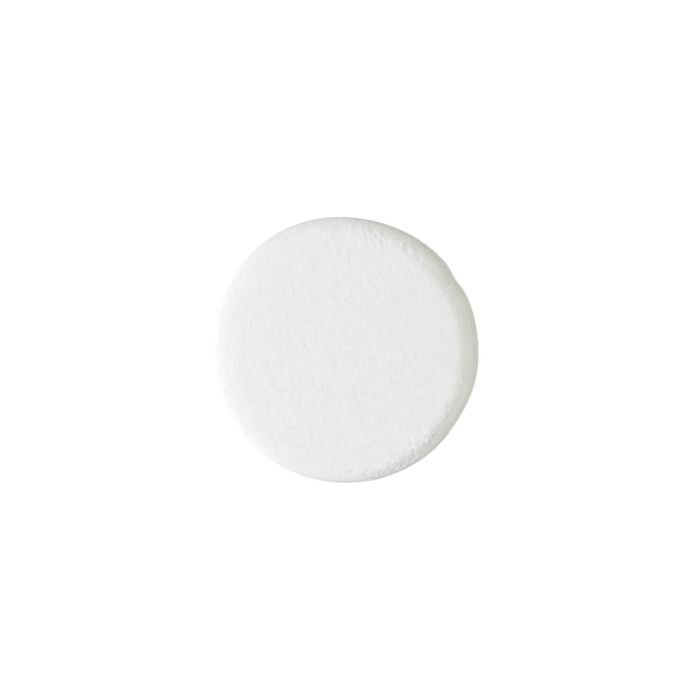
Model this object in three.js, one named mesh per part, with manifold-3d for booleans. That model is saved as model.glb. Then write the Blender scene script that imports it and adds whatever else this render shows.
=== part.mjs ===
// Round velour powder puff. Two pile covers are sewn together inside out, turned through a gap in the seam,
// filled with a foam disc between two layers of wadding, and closed by hand over the gap.
// Millimetres. +Z is the puff's axis: it lies on its back at z = 0 with the powdering face up.
import * as THREE from 'three';
import { mergeVertices } from 'three/addons/utils/BufferGeometryUtils.js';
import Module from 'manifold-3d';

// Outer shape
const PUFF_DIAMETER = 70;
const FRONT_DEPTH = 6; // from the seam up to the middle of the powdering face
const REAR_DEPTH = 8; // from the seam down to the resting face
const CROWN_RISE = 1; // middle of the powdering face above its rim
const FRONT_EDGE_RADIUS = 4;
const REAR_EDGE_RADIUS = 3.6;

// Covers, each of ground cloth and pile
const COVER_THICKNESS = 1.4;
const SEAM_DRAW_IN = 1.4; // depth of the groove that the seam draws into the wall
const ALLOWANCE_WIDTH = 4; // cloth turned in past the stitches
const ALLOWANCE_THICKNESS = 0.8; // thinner than the cover, because its pile is crushed

// Filling
const WADDING_THICKNESS = 1.5; // over the edge of the foam disc

// Sewing
const THREAD_DIAMETER = 0.4;
const STITCH_LENGTH = 5;
const STITCH_BITE = 0.35; // half the width of a stitch's dip through the cloth
const STITCH_LAND = 0.5; // cloth left between a stitch hole and the groove
const THREAD_TAIL = 1.5; // loose end past the first and last stitch
const TURNING_BEARING = 33; // degrees from +X to the middle of the turning gap
const TURNING_ANGLE = 40; // degrees of seam left open for turning
const CLOSING_PITCH = 3.2; // one hand stitch along the seam

// Clearances
const FIT_GAP = 0.3; // between layers that lie on each other
const THREAD_GAP = 0.2; // round a thread, in its holes and beside its neighbour

// Facets
const ROUND_SEGMENTS = 36;
const CROWN_STEPS = 2;
const BEND_STEPS = 3;
const LOBE_STEPS = 2;
const THREAD_SIDES = 5;
const TURN_STEPS = 8;

// Worked out from the sizes above
const RADIUS = PUFF_DIAMETER / 2;
const HALF_GAP = FIT_GAP / 2;
const THREAD_RADIUS = THREAD_DIAMETER / 2;
const SEAM_RADIUS = RADIUS - SEAM_DRAW_IN;
const THREAD_OFFSET = (THREAD_DIAMETER + THREAD_GAP) / 2;
const HOLE_HALF_WIDTH = THREAD_OFFSET + THREAD_RADIUS + THREAD_GAP;
const HOLE_HALF_LENGTH = STITCH_BITE + THREAD_RADIUS + THREAD_GAP;
const STITCH_RADIUS = SEAM_RADIUS - STITCH_LAND - HOLE_HALF_WIDTH;
const ALLOWANCE_RADIUS = STITCH_RADIUS - ALLOWANCE_WIDTH;
const ALLOWANCE_TOP = HALF_GAP + ALLOWANCE_THICKNESS;
const THREAD_RUN = ALLOWANCE_TOP + FIT_GAP + THREAD_RADIUS;
const THREAD_ROOF = THREAD_RUN + THREAD_RADIUS + FIT_GAP;
const FOAM_RADIUS = ALLOWANCE_RADIUS - FIT_GAP;

const wasm = await Module();
wasm.setup();

// Materials
const velour = () => new THREE.MeshStandardMaterial({ color: '#f0f0ec', roughness: 0.95, metalness: 0 });
const wadding = () => new THREE.MeshStandardMaterial({ color: '#f6f4ee', roughness: 1, metalness: 0 });
const foam = () => new THREE.MeshStandardMaterial({ color: '#efe6cc', roughness: 0.9, metalness: 0 });
const thread = () => new THREE.MeshStandardMaterial({ color: '#f7f6f1', roughness: 0.7, metalness: 0 });

// One side of the puff, as heights away from the seam's plane. up is 1 for the front and -1 for the back.
function side(up, depth, crown, edgeRadius) {
  const wallFoot = HALF_GAP + Math.max(SEAM_DRAW_IN, ALLOWANCE_THICKNESS);
  const bend = Math.min(edgeRadius, depth - crown - wallFoot);
  const rim = RADIUS - bend;
  const faceHeight = (r) => {
    const face = depth - crown * Math.min(r / rim, 1) ** 2;
    const over = Math.max(r - rim, 0);
    return face - bend + Math.sqrt(Math.max(bend * bend - over * over, 0));
  };
  return { up, crown, bend, faceHeight };
}

// Points from the axis along the face, round its edge and down the wall to a foot, inset from the outside.
function shellCurve({ crown, bend, faceHeight }, inset, foot) {
  const innerBend = Math.max(bend - inset, 0);
  const rim = RADIUS - inset - innerBend;
  const points = [];
  const steps = crown > 0 ? CROWN_STEPS : 1;
  for (let k = 0; k <= steps; k++) {
    const r = (rim * k) / steps;
    points.push(new THREE.Vector2(r, faceHeight(r) - inset));
  }
  const centre = faceHeight(rim) - inset - innerBend;
  if (innerBend > 0) {
    const lowest = Math.asin(THREE.MathUtils.clamp((foot - centre) / innerBend, 0, 1));
    for (let k = 1; k <= BEND_STEPS; k++) {
      const angle = THREE.MathUtils.lerp(Math.PI / 2, lowest, k / BEND_STEPS);
      const height = centre + innerBend * Math.sin(angle);
      points.push(new THREE.Vector2(rim + innerBend * Math.cos(angle), height));
    }
  }
  if (foot < points.at(-1).y) {
    points.push(new THREE.Vector2(points.at(-1).x, foot));
  }
  return points;
}

// Turns a profile of radius and height above the seam into a closed round body, standing on z = 0.
function revolve(profile, up) {
  const points = profile.map(({ x, y }) => new THREE.Vector2(x, REAR_DEPTH + up * y));
  const geometry = new THREE.LatheGeometry(up > 0 ? points.reverse() : points, ROUND_SEGMENTS);
  return geometry.rotateX(Math.PI / 2);
}

// A cover: its face, edge and wall, the lobe into the seam groove, the turned-in allowance and its inside.
function coverGeometry(half) {
  const profile = shellCurve(half, 0, HALF_GAP + SEAM_DRAW_IN);
  for (let k = 1; k <= LOBE_STEPS; k++) {
    const angle = ((Math.PI / 2) * k) / LOBE_STEPS;
    const r = SEAM_RADIUS + SEAM_DRAW_IN * Math.cos(angle);
    profile.push(new THREE.Vector2(r, HALF_GAP + SEAM_DRAW_IN * (1 - Math.sin(angle))));
  }
  profile.push(new THREE.Vector2(ALLOWANCE_RADIUS, HALF_GAP));
  profile.push(new THREE.Vector2(ALLOWANCE_RADIUS, ALLOWANCE_TOP));
  profile.push(...shellCurve(half, COVER_THICKNESS, ALLOWANCE_TOP).reverse());
  return revolve(profile, half.up);
}

// Height of the foam disc's flat face away from the seam's plane.
const foamFace = (half) => half.faceHeight(FOAM_RADIUS) - COVER_THICKNESS - WADDING_THICKNESS - 2 * FIT_GAP;

// Wadding fills a cover's inside down to the foam disc, and drapes over the allowance round it.
function waddingGeometry(half) {
  const under = foamFace(half) + FIT_GAP;
  const profile = shellCurve(half, COVER_THICKNESS + FIT_GAP, THREAD_ROOF);
  profile.push(new THREE.Vector2(ALLOWANCE_RADIUS, THREAD_ROOF));
  profile.push(new THREE.Vector2(ALLOWANCE_RADIUS, under));
  profile.push(new THREE.Vector2(0, under));
  return revolve(profile, half.up);
}

function foamGeometry(front, rear) {
  const thickness = foamFace(front) + foamFace(rear);
  const geometry = new THREE.CylinderGeometry(FOAM_RADIUS, FOAM_RADIUS, thickness, ROUND_SEGMENTS);
  geometry.rotateX(Math.PI / 2);
  return geometry.translate(0, 0, REAR_DEPTH - foamFace(rear) + thickness / 2);
}

// A path with one ring of the tube at each of its points, mitred where it bends.
class ThreadPath extends THREE.Curve {
  constructor(points) {
    super();
    this.points = points;
  }

  getPoint(t) {
    const at = t * (this.points.length - 1);
    const k = Math.min(Math.floor(at), this.points.length - 2);
    return this.points[k].clone().lerp(this.points[k + 1], at - k);
  }

  getTangent(t) {
    const last = this.points.length - 1;
    const k = Math.round(t * last);
    const before = this.points[k].clone().sub(this.points[Math.max(k - 1, 0)]).normalize();
    const after = this.points[Math.min(k + 1, last)].clone().sub(this.points[k]).normalize();
    return before.add(after).normalize();
  }

  getUtoTmapping(u) {
    return u;
  }
}

function tube(points, radius) {
  const section = new THREE.Shape();
  for (let k = 0; k < THREAD_SIDES; k++) {
    const angle = (2 * Math.PI * k) / THREAD_SIDES;
    const corner = [radius * Math.cos(angle), radius * Math.sin(angle)];
    if (k === 0) section.moveTo(...corner);
    else section.lineTo(...corner);
  }
  const options = { steps: points.length - 1, extrudePath: new ThreadPath(points), bevelEnabled: false };
  return new THREE.ExtrudeGeometry(section, options);
}

// A point by its bearing round the axis, its radius and its height away from the seam's plane.
function seamPoint(bearing, r, height) {
  return new THREE.Vector3(r * Math.cos(bearing), r * Math.sin(bearing), REAR_DEPTH + height);
}

// Bearings of the machine stitches, from one end of the turning gap round to the other.
const sewnAngle = THREE.MathUtils.degToRad(360 - TURNING_ANGLE);
const sewnStart = THREE.MathUtils.degToRad(TURNING_BEARING + TURNING_ANGLE / 2);
const stitchCount = Math.floor((sewnAngle * STITCH_RADIUS) / STITCH_LENGTH);
const stitchBearings = [];
for (let k = 0; k <= stitchCount; k++) {
  stitchBearings.push(sewnStart + (sewnAngle * k) / stitchCount);
}

// One thread of the machine seam. It runs along its own side of the allowances, and at each stitch it dips
// to the middle, where it passes beside the other thread.
function seamThreadGeometry(up) {
  const r = STITCH_RADIUS + up * THREAD_OFFSET;
  const bite = STITCH_BITE / r;
  const tail = THREAD_TAIL / r;
  const points = [seamPoint(stitchBearings[0] - bite - tail, r, up * THREAD_RUN)];
  for (const bearing of stitchBearings) {
    points.push(seamPoint(bearing - bite, r, up * THREAD_RUN));
    points.push(seamPoint(bearing, r, -up * THREAD_RADIUS));
    points.push(seamPoint(bearing + bite, r, up * THREAD_RUN));
  }
  points.push(seamPoint(stitchBearings.at(-1) + bite + tail, r, up * THREAD_RUN));
  return tube(points, THREAD_RADIUS);
}

// The hand stitches wind round the two folded edges, through the groove outside and past the allowances.
function closingPoints() {
  const windRadius = THREAD_RUN;
  const r = SEAM_RADIUS + THREAD_GAP + THREAD_RADIUS - windRadius;
  const margin = STITCH_BITE + THREAD_TAIL + THREAD_DIAMETER + THREAD_GAP;
  const openLength = THREE.MathUtils.degToRad(TURNING_ANGLE) * r - 2 * margin;
  const turns = Math.max(Math.floor(openLength / CLOSING_PITCH), 1);
  const middle = THREE.MathUtils.degToRad(TURNING_BEARING);
  const points = [];
  for (let k = 0; k <= turns * TURN_STEPS; k++) {
    const turn = k / TURN_STEPS;
    const bearing = middle + ((turn - turns / 2) * CLOSING_PITCH) / r;
    const angle = Math.PI + 2 * Math.PI * turn;
    points.push(seamPoint(bearing, r + windRadius * Math.cos(angle), windRadius * Math.sin(angle)));
  }
  return points;
}

// Joining and cutting
function solidOf(geometry) {
  const bare = geometry.clone();
  bare.deleteAttribute('normal');
  bare.deleteAttribute('uv');
  const merged = mergeVertices(bare);
  const index = merged.index.array;
  const triVerts = [];
  for (let k = 0; k < index.length; k += 3) {
    const [a, b, c] = index.slice(k, k + 3);
    if (a !== b && b !== c && c !== a) triVerts.push(a, b, c);
  }
  const vertProperties = new Float32Array(merged.attributes.position.array);
  const mesh = new wasm.Mesh({ numProp: 3, vertProperties, triVerts: new Uint32Array(triVerts) });
  return new wasm.Manifold(mesh);
}

function geometryOf(solid) {
  const { vertProperties, triVerts } = solid.getMesh();
  const geometry = new THREE.BufferGeometry();
  geometry.setAttribute('position', new THREE.BufferAttribute(vertProperties, 3));
  geometry.setIndex(new THREE.BufferAttribute(triVerts, 1));
  geometry.computeVertexNormals();
  return geometry;
}

// A stitch hole through both allowances.
function stitchHole(bearing) {
  const height = 2 * (ALLOWANCE_TOP + FIT_GAP);
  const geometry = new THREE.BoxGeometry(2 * HOLE_HALF_WIDTH, 2 * HOLE_HALF_LENGTH, height);
  geometry.rotateZ(bearing);
  const { x, y, z } = seamPoint(bearing, STITCH_RADIUS, 0);
  return solidOf(geometry.translate(x, y, z));
}

function pierced(geometry, cuts) {
  return geometryOf(cuts.reduce((solid, cut) => solid.subtract(cut), solidOf(geometry)));
}

const front = side(1, FRONT_DEPTH, CROWN_RISE, FRONT_EDGE_RADIUS);
const rear = side(-1, REAR_DEPTH, 0, REAR_EDGE_RADIUS);
const cuts = stitchBearings.map(stitchHole);
cuts.push(solidOf(tube(closingPoints(), THREAD_RADIUS + THREAD_GAP)));

const puff = new THREE.Group();

function addPiece(name, geometry, material) {
  const mesh = new THREE.Mesh(geometry, material);
  mesh.name = name;
  puff.add(mesh);
}

addPiece('front_cover', pierced(coverGeometry(front), cuts), velour());
addPiece('rear_cover', pierced(coverGeometry(rear), cuts), velour());
addPiece('front_wadding', waddingGeometry(front), wadding());
addPiece('rear_wadding', waddingGeometry(rear), wadding());
addPiece('foam_core', foamGeometry(front, rear), foam());
addPiece('needle_thread', seamThreadGeometry(1), thread());
addPiece('bobbin_thread', seamThreadGeometry(-1), thread());
addPiece('closing_thread', tube(closingPoints(), THREAD_RADIUS), thread());

export default puff;
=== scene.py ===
import math
from collections import namedtuple

import bpy
import numpy as np
from mathutils import Matrix, Vector


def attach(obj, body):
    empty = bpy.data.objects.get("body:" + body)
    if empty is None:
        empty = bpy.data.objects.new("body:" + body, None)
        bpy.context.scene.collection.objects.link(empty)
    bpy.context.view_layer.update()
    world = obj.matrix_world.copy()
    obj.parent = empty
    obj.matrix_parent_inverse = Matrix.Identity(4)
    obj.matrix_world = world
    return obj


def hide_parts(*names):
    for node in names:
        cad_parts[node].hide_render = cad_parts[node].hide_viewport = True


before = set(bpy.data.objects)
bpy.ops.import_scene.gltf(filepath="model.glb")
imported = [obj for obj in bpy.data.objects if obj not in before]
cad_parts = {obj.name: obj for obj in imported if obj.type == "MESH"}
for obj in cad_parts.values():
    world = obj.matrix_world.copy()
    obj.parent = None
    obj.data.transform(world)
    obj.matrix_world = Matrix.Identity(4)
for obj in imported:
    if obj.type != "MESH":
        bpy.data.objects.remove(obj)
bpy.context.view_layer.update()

MM = 0.001

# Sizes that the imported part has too
RADIUS = 35.0
SEAM_HEIGHT = 8.0
FRONT_DEPTH = 6.0
REAR_DEPTH = 8.0
CROWN_RISE = 1.0
COVER_THICKNESS = 1.4
HALF_GAP = 0.15
LAYER_GAP = 0.3
ALLOWANCE_RADIUS = 28.4
ALLOWANCE_TOP = 0.95
FOAM_RADIUS = 28.1
FOAM_UP = 1.707
FOAM_DOWN = 4.5
THREAD_RADIUS = 0.2
THREAD_RUN = 1.45
THREAD_ROOF = 1.95
THREAD_OFFSET = 0.3
STITCH_RADIUS = 32.4
STITCH_LENGTH = 5.0
STITCH_BITE = 0.35
THREAD_TAIL = 1.5
TURNING_BEARING = math.radians(33)
TURNING_ANGLE = math.radians(40)
CLOSING_RADIUS = 32.55
CLOSING_TURNS = 5
CLOSING_PITCH = 3.2

# The foot of a cover's inside stays clear of the machine threads
THREAD_CLEARANCE = 0.4
FOOT_RADIUS = STITCH_RADIUS + THREAD_OFFSET + THREAD_RADIUS + THREAD_CLEARANCE
FOOT_STEP = 0.05

# How far the tips of the pile stand above the cloth that carries them
PILE_STAND = 0.15

# The puff is not quite round: bearing and half width in degrees, and how far the outline moves out
OUTLINE_BUMPS = [
    (130, 40, 0.4), (180, 50, 0.8), (205, 15, 0.35), (72, 25, -0.5),
    (33, 5, -0.7), (-33, 9, -0.3), (-12, 9, 0.25),
]

# How far the face takes to turn down into the wall: crisp on the right and soft on the left
EDGE_WIDTH = 3.6
EDGE_WIDTH_BUMPS = [(180, 50, 5.2), (-45, 40, -2.1), (10, 30, -0.6), (85, 30, 0.7)]
EDGE_DEPTH = 3.0
EDGE_DEPTH_BUMPS = [(-45, 45, -1.4), (10, 30, -0.5)]
REAR_EDGE = 3.4

# How far the front wall leans in from the seam to its bend
LEAN_BUMPS = [(-20, 60, 1.1)]

# The seam's groove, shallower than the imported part's because pile fills it, and its uneven waves
SEAM_DRAW_IN = 0.45
LOBE_RISE = 0.7
SEAM_WAVES = (5, 9, 14, 23, 31, 44)
SEAM_WAVE_SIZE = 3
WAVE_SPREAD = (0.5, 1.0)
RISE_WAVE = 0.3
DRAW_WAVE = 0.35
HEIGHT_WAVE = 0.12
SEAM_LIFT = 0.08

# Cage that the cover is simulated on
GRID_CELLS = 40
BEND_ANGLES = [18, 36, 54, 72, 90]
LOBE_ANGLES = [30, 60, 90]
SUBDIVISIONS = 2

# A point's drop is 0 on the face and 1 at the seam. A zone is the start and the width of a smooth step
ON_FACE = 0.01
SHOULDER = 0.1
AT_SEAM = 0.999
FACE_DROPS = (-1, SHOULDER)
WALL_DROPS = (SHOULDER, 2)
HOLD_ZONE = (0.1, 0.5)
GATHER_ZONE = (0.0, 0.6)
SHOULDER_ZONE = (0.1, 0.3)
WALL_ZONE = (0.35, 0.2)
FADE_ZONE = (0.7, 0.25)
LIFT_ZONE = (0.85, 0.15)

# Zones across the puff, as shares of its radius
CALM_ZONE = (0.4, 0.4)
RIM_ZONE = (0.78, 0.12)

# Cloth simulation, on a larger copy so that the solver sees lengths it is made for
SIM_SCALE = 10
SIM_FRAMES = 20
SIM_PRESSURE = 6.0
SIM_CAP = 0.8
HOLD_FACE = 0.6
HOLD_LOST = 0.4
RESTING_HEIGHT = 0.5
WEIGHT_DIGITS = 2

# Relief of the massed pile
NOISE_SIZE = 256
NAP = np.array([0.22, -1.0]) / math.hypot(0.22, 1.0)
TUFT_WIDTH = 0.9
TUFT_LENGTH = 1.8
TUFT_HEIGHT = 0.013
FINE_SHARE = 0.6
FINE_RATE = 2.1
BROAD_SHARE = 1.2
BROAD_WIDTH = 6
BROAD_LENGTH = 8
FLECK_COUNT = 260
FLECK_HEIGHT = 0.09
FLECK_LEAST = 0.5
FLECK_WIDTH = 0.35
FLECK_LENGTH = 0.7
FLECK_REACH = 2.5
WALL_TUFTS = 2.0
EDGE_TUFTS = 5.5
EDGE_DROP = 0.15
EDGE_TUFT_BUMPS = [(-50, 28, 1.0), (64, 28, 3.2)]
EDGE_FLECK_BUMPS = [(-50, 28, 1.0)]
CALM_BUMPS = [(180, 70, 0.75)]

# Strands of the pile
FACE_STRANDS = 7000
WALL_STRANDS = 7000
REAR_WALL_STRANDS = 9000
REAR_STRANDS = 12000
STRAND_LENGTH = 0.8
STRAND_SPREAD = (0.75, 1.15)
STRAND_WIDTH = 0.045
STRAND_BURY = 0.08
STRAND_LEAN = math.radians(62)
WALL_LEAN = math.radians(74)
LEAN_SPREAD = 0.2
WALL_STEADY = 0.5
WALL_SHORTER = 0.4
NAP_SWAY = 0.45
STRAND_PULL = 0.25
CLUMP_SPREAD = (0.2, 0.8)
STRAND_SHADING = 0.7
PILE_FLOOR = 0.02
FLOOR_SPREAD = 0.1

# Near the seam the pile is denser and longer, and is brushed over it
SEAM_BAND = 1.6
SEAM_BAND_FADE = 0.6
SEAM_SHARE = 2.0
SEAM_TURN = 0.75
SEAM_LONGER = 0.5
SEAM_DEEP = 0.45
SEAM_DEEP_FADE = 0.3
SEAM_STAND = 0.7

# A strand is a spike with three corners at its root and one at its tip
SPIKE_SPREAD = (0.8, 1.2)
SPIKE_RIDGE = 0.3
SPIKE_BASE = 0.2
SPIKE_FACES = ((0, 1, 2), (0, 3, 1), (1, 3, 2), (2, 3, 0))
TONE_SPREAD = (0.02, 0.98)
CORNER_TONES = np.array([-0.008, 0.0, 0.008, 0.0])
CORNER_LENGTHS = np.array([0.02, 0.05, 0.02, 0.98])
PILE_MAP = "OFBake"

# Ragged tufts that stand out over the wall. Their slope has a mean and a spread
RAGGED_BUMPS = [(-50, 28, 1.0), (35, 35, 0.35)]
RAGGED_LEAST = 0.12
RAGGED_TUFTS = 280
TUFT_BAND = 1.2
TUFT_DROP = 0.3
TUFT_CLING = 0.6
TUFT_STRANDS = 7
TUFT_REACH = 1.5
TUFT_REACH_SPREAD = (0.5, 1.2)
TUFT_SWAY = 0.3
TUFT_SLOPE = (-0.12, 0.1)
TUFT_LIFT = 0.1
TUFT_SPREAD = 0.6
TUFT_GATHER = 0.5
TUFT_ROOT_SPREAD = 0.5
TUFT_END_SPREAD = 0.1
TUFT_STRAND_WIDTH = 0.2
TUFT_SHADING = 0.85

# Filling
LUMP_HEIGHT = 0.12
LUMP_WIDTH = 2.2
LID_STEP = 1
PORE_DEPTH = 0.1
PORE_RATE = 30
WALL_PORE_RATE = 12
FOAM_BEVEL = 0.5
FOAM_RINGS = 7

# Sewing
CLOSING_STEPS = 40
CORNER_CUT = 0.25
CORNER_ROUNDS = 2
PLIES = 2
PLY_SIDES = 6
TWIST_LENGTH = 1.1
THREAD_SPACING = 0.2

# Materials. A grain's scale is waves to a metre, and a bump's depth is metres
Grain = namedtuple("Grain", "scale stretch detail")
Finish = namedtuple("Finish", "low high grain bump_grain bump depth sheen")
TUFT_GRAIN = Grain(900, (1.0, 0.45, 1.0), 3.0)
FIBRE_GRAIN = Grain(3500, (1.0, 0.4, 1.0), 3.0)
FOAM_GRAIN = Grain(2500, (1, 1, 1), 4.0)
WADDING_GRAIN = Grain(1500, (1, 1, 2.5), 4.0)
THREAD_GRAIN = Grain(6000, (1, 1, 1), 4.0)
VELOUR = Finish((0.83, 0.83, 0.828), (0.87, 0.87, 0.87), TUFT_GRAIN, FIBRE_GRAIN, 0.3, 0.0001, 0.1)
FOAM = Finish((0.80, 0.70, 0.50), (0.92, 0.85, 0.68), FOAM_GRAIN, None, 0.8, 0.0002, 0.0)
WADDING = Finish((0.86, 0.85, 0.80), (0.95, 0.94, 0.91), WADDING_GRAIN, None, 0.6, 0.0002, 0.1)
THREAD = Finish((0.88, 0.87, 0.83), (0.96, 0.95, 0.92), THREAD_GRAIN, None, 0.4, 0.0002, 0.1)
CLOTH_ROUGHNESS = 0.95
CLOTH_SPECULAR = 0.1
SHEEN_ROUGHNESS = 0.5
# Strand tones, spread at random between these two and painted lighter than the cloth's colours: painted
# light for the light that passes through real fibres
PAINTED_LIGHT_TONE_LOW = (0.95, 0.95, 0.945)
PAINTED_LIGHT_TONE_HIGH = (0.99, 0.99, 0.985)
# Painted shade at each strand's root, where the pile shades it, fading out towards the tip by TIP_FROM
ROOT_SHADE_COLOUR = (0.97, 0.97, 0.965)
TIP_FROM = 0.8
PILE_ROUGHNESS = 0.9
PILE_SHEEN = 0.4

# Floor, light and camera. The lamps and the camera's near limit are in metres
FLOOR_REACH = 3000.0
FLOOR_HEIGHT = -0.1
FLOOR_PALE = 0.55
FLOOR_SHADE = 0.12
FLOOR_GLOW = 0.93
WORLD_STRENGTH = 0.60
ROOM_BEARING = 208
ROOM_SLOPES = [0.55, 0.55, 0.62]
LAMP_DISTANCE = 1.2
WHITE = (1.0, 1.0, 1.0)
Lamp = namedtuple("Lamp", "name bearing elevation size power colour")
LAMPS = [
    Lamp("key_0", 150, 25, 1.0, 4.35, WHITE),
    Lamp("key_1", 210, 25, 1.0, 4.35, WHITE),
    Lamp("fill", 6, 20, 0.5, 4.1, (1.0, 0.97, 0.81)),
    Lamp("top", 0, 90, 1.0, 1.2, WHITE),
]
CAMERA_TILT = 15
CAMERA_BEARING = 5
CAMERA_DISTANCE = 900.0
CAMERA_NEAR = 0.01
PIXELS_PER_MM = 3.807
IMAGE_WIDTH = 700
IMAGE_CENTRE = (345.5, 349.75)
SENSOR_WIDTH = 36.0

Side = namedtuple("Side", "up depth crown")
FRONT = Side(1, FRONT_DEPTH, CROWN_RISE)
REAR = Side(-1, REAR_DEPTH, 0.0)
Cage = namedtuple("Cage", "points quads cloth drop loops")
Surface = namedtuple("Surface", "points normals quads cloth drop")


# Sums that the whole script uses

def smooth(t):
    t = np.clip(t, 0, 1)
    return t * t * (3 - 2 * t)


def ramp(value, zone):
    """Smooth step from 0 to 1 over a zone."""
    start, width = zone
    return smooth((value - start) / width)


def noise(x, y, seed):
    """Smooth noise between -1 and 1 with one lattice point to a unit."""
    table = np.random.default_rng(seed).uniform(-1, 1, (NOISE_SIZE, NOISE_SIZE))
    left = np.floor(x).astype(int)
    low = np.floor(y).astype(int)
    u = smooth(x - left)
    v = smooth(y - low)
    rows = (left % NOISE_SIZE, (left + 1) % NOISE_SIZE)
    columns = (low % NOISE_SIZE, (low + 1) % NOISE_SIZE)
    near = table[rows[0], columns[0]] * (1 - u) + table[rows[1], columns[0]] * u
    far = table[rows[0], columns[1]] * (1 - u) + table[rows[1], columns[1]] * u
    return near * (1 - v) + far * v


def unit(vectors):
    return vectors / np.maximum(np.linalg.norm(vectors, axis=-1, keepdims=True), 1e-12)


def bearing_of(points):
    return np.arctan2(points[:, 1], points[:, 0])


def radius_of(points):
    return np.hypot(points[:, 0], points[:, 1])


def along_surface(ways, normals):
    return unit(ways - normals * (ways * normals).sum(1, keepdims=True))


def quad_normals(points, quads):
    """Normals of quads, as long as twice their areas."""
    corner = points[quads]
    return np.cross(corner[:, 2] - corner[:, 0], corner[:, 3] - corner[:, 1])


def vertex_normals(points, quads):
    normal = quad_normals(points, quads)
    total = np.zeros_like(points)
    for k in range(4):
        np.add.at(total, quads[:, k], normal)
    return unit(total)


# Meshes and objects

def make_mesh(name, points, faces):
    mesh = bpy.data.meshes.new(name)
    polygons = [face for block in faces for face in np.asarray(block).tolist()]
    mesh.from_pydata((np.asarray(points) * MM).tolist(), [], polygons)
    mesh.polygons.foreach_set("use_smooth", [True] * len(mesh.polygons))
    mesh.update()
    return mesh


def make_object(name, data):
    piece = bpy.data.objects.new(name, data)
    bpy.context.scene.collection.objects.link(piece)
    return piece


def discard(piece):
    mesh = piece.data
    bpy.data.objects.remove(piece)
    bpy.data.meshes.remove(mesh)


def mesh_points(mesh):
    points = np.empty(len(mesh.vertices) * 3)
    mesh.vertices.foreach_get("co", points)
    return points.reshape(-1, 3) / MM


def read_attribute(mesh, name):
    values = np.empty(len(mesh.vertices))
    mesh.attributes[name].data.foreach_get("value", values)
    return values


def ring_quads(inner, outer):
    return np.stack([inner, outer, np.roll(outer, -1), np.roll(inner, -1)], axis=-1)


def ring_strips(inners, outers):
    return [ring_quads(inner, outer) for inner, outer in zip(inners, outers)]


def ring_numbers(start, size, count):
    """Point numbers of rings of one size that follow each other."""
    return [np.arange(size) + start + k * size for k in range(count)]


def ring_at(bearing, radius, height):
    x = radius * np.cos(bearing)
    y = radius * np.sin(bearing)
    return np.stack([x, y, np.full_like(bearing, height)], axis=-1)


def flipped(blocks):
    return [block[:, ::-1] for block in blocks]


# Outline and profile by bearing

def bearing_bumps(bearing, bumps):
    total = np.zeros_like(bearing)
    for centre, half_width, height in bumps:
        away = np.angle(np.exp(1j * (bearing - math.radians(centre))))
        total += height * np.exp(-((away / math.radians(half_width)) ** 2))
    return total


def outline(bearing):
    """Radius of the cloth at its widest, under the pile."""
    return RADIUS - PILE_STAND + bearing_bumps(bearing, OUTLINE_BUMPS)


def edge_width(bearing, side):
    """How far in from the wall the face starts to turn down."""
    if side.up > 0:
        return EDGE_WIDTH + bearing_bumps(bearing, EDGE_WIDTH_BUMPS)
    return REAR_EDGE + 0 * bearing


def edge_depth(bearing, side):
    if side.up > 0:
        return EDGE_DEPTH + bearing_bumps(bearing, EDGE_DEPTH_BUMPS)
    return REAR_EDGE + 0 * bearing


def lean_in(bearing, side):
    if side.up > 0:
        return bearing_bumps(bearing, LEAN_BUMPS)
    return 0 * bearing


def face_edge(bearing, side):
    """Radius at which the face starts to turn down."""
    return outline(bearing) - lean_in(bearing, side) - edge_width(bearing, side)


def seam_wave(bearing, seed):
    """Uneven wave round the seam, from about -1 to 1."""
    rng = np.random.default_rng(seed)
    total = np.zeros_like(bearing)
    for turns in SEAM_WAVES:
        total += rng.uniform(*WAVE_SPREAD) * np.sin(turns * bearing + rng.uniform(0, 2 * math.pi))
    return total / SEAM_WAVE_SIZE


def crowned(side, reach):
    """Height of the crowned face over the seam at a share of the widest radius."""
    return side.depth - PILE_STAND - side.crown * reach ** 2


def stations(side, bearing):
    """Radius and height above the seam of each ring from the bend down to the seam."""
    widest = outline(bearing)
    bent = widest - lean_in(bearing, side)
    width = edge_width(bearing, side)
    depth = edge_depth(bearing, side)
    rings = []
    for angle in np.radians(BEND_ANGLES):
        r = bent - width + width * math.sin(angle)
        rings.append((r, crowned(side, r / widest) - depth * (1 - math.cos(angle))))
    rise = LOBE_RISE * (1 + RISE_WAVE * seam_wave(bearing, 3))
    draw_in = SEAM_DRAW_IN * (1 + DRAW_WAVE * seam_wave(bearing, 5))
    height = HEIGHT_WAVE * seam_wave(bearing, 7) * side.up
    rings.append((widest, rise + height))
    for angle in np.radians(LOBE_ANGLES):
        r = widest - draw_in * (1 - math.cos(angle))
        rings.append((r, rise * (1 - math.sin(angle)) + height))
    return rings


# Cage of one side of the cover

def disc_grid():
    """Radius from 0 to 1 and bearing of a square grid bent into a disc, row by row."""
    steps = np.linspace(-1, 1, GRID_CELLS + 1)
    a, b = np.meshgrid(steps, steps, indexing="ij")
    wide = np.abs(a) > np.abs(b)
    safe_a = np.where(a == 0, 1, a)
    safe_b = np.where(b == 0, 1, b)
    reach = np.where(wide, a, b)
    turn = np.where(wide, math.pi / 4 * b / safe_a, math.pi / 2 - math.pi / 4 * a / safe_b)
    turn = np.where(reach < 0, turn + math.pi, turn)
    return np.abs(reach).ravel(), turn.ravel()


def disc_quads():
    index = np.arange((GRID_CELLS + 1) ** 2).reshape(GRID_CELLS + 1, GRID_CELLS + 1)
    corners = [index[:-1, :-1], index[1:, :-1], index[1:, 1:], index[:-1, 1:]]
    return np.stack(corners, axis=-1).reshape(-1, 4)


def disc_loop():
    """The grid's edge, counter-clockwise."""
    n = GRID_CELLS
    index = np.arange((n + 1) ** 2).reshape(n + 1, n + 1)
    return np.concatenate([index[n, :n], index[n:0:-1, n], index[0, n:0:-1], index[:n, 0]])


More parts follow.
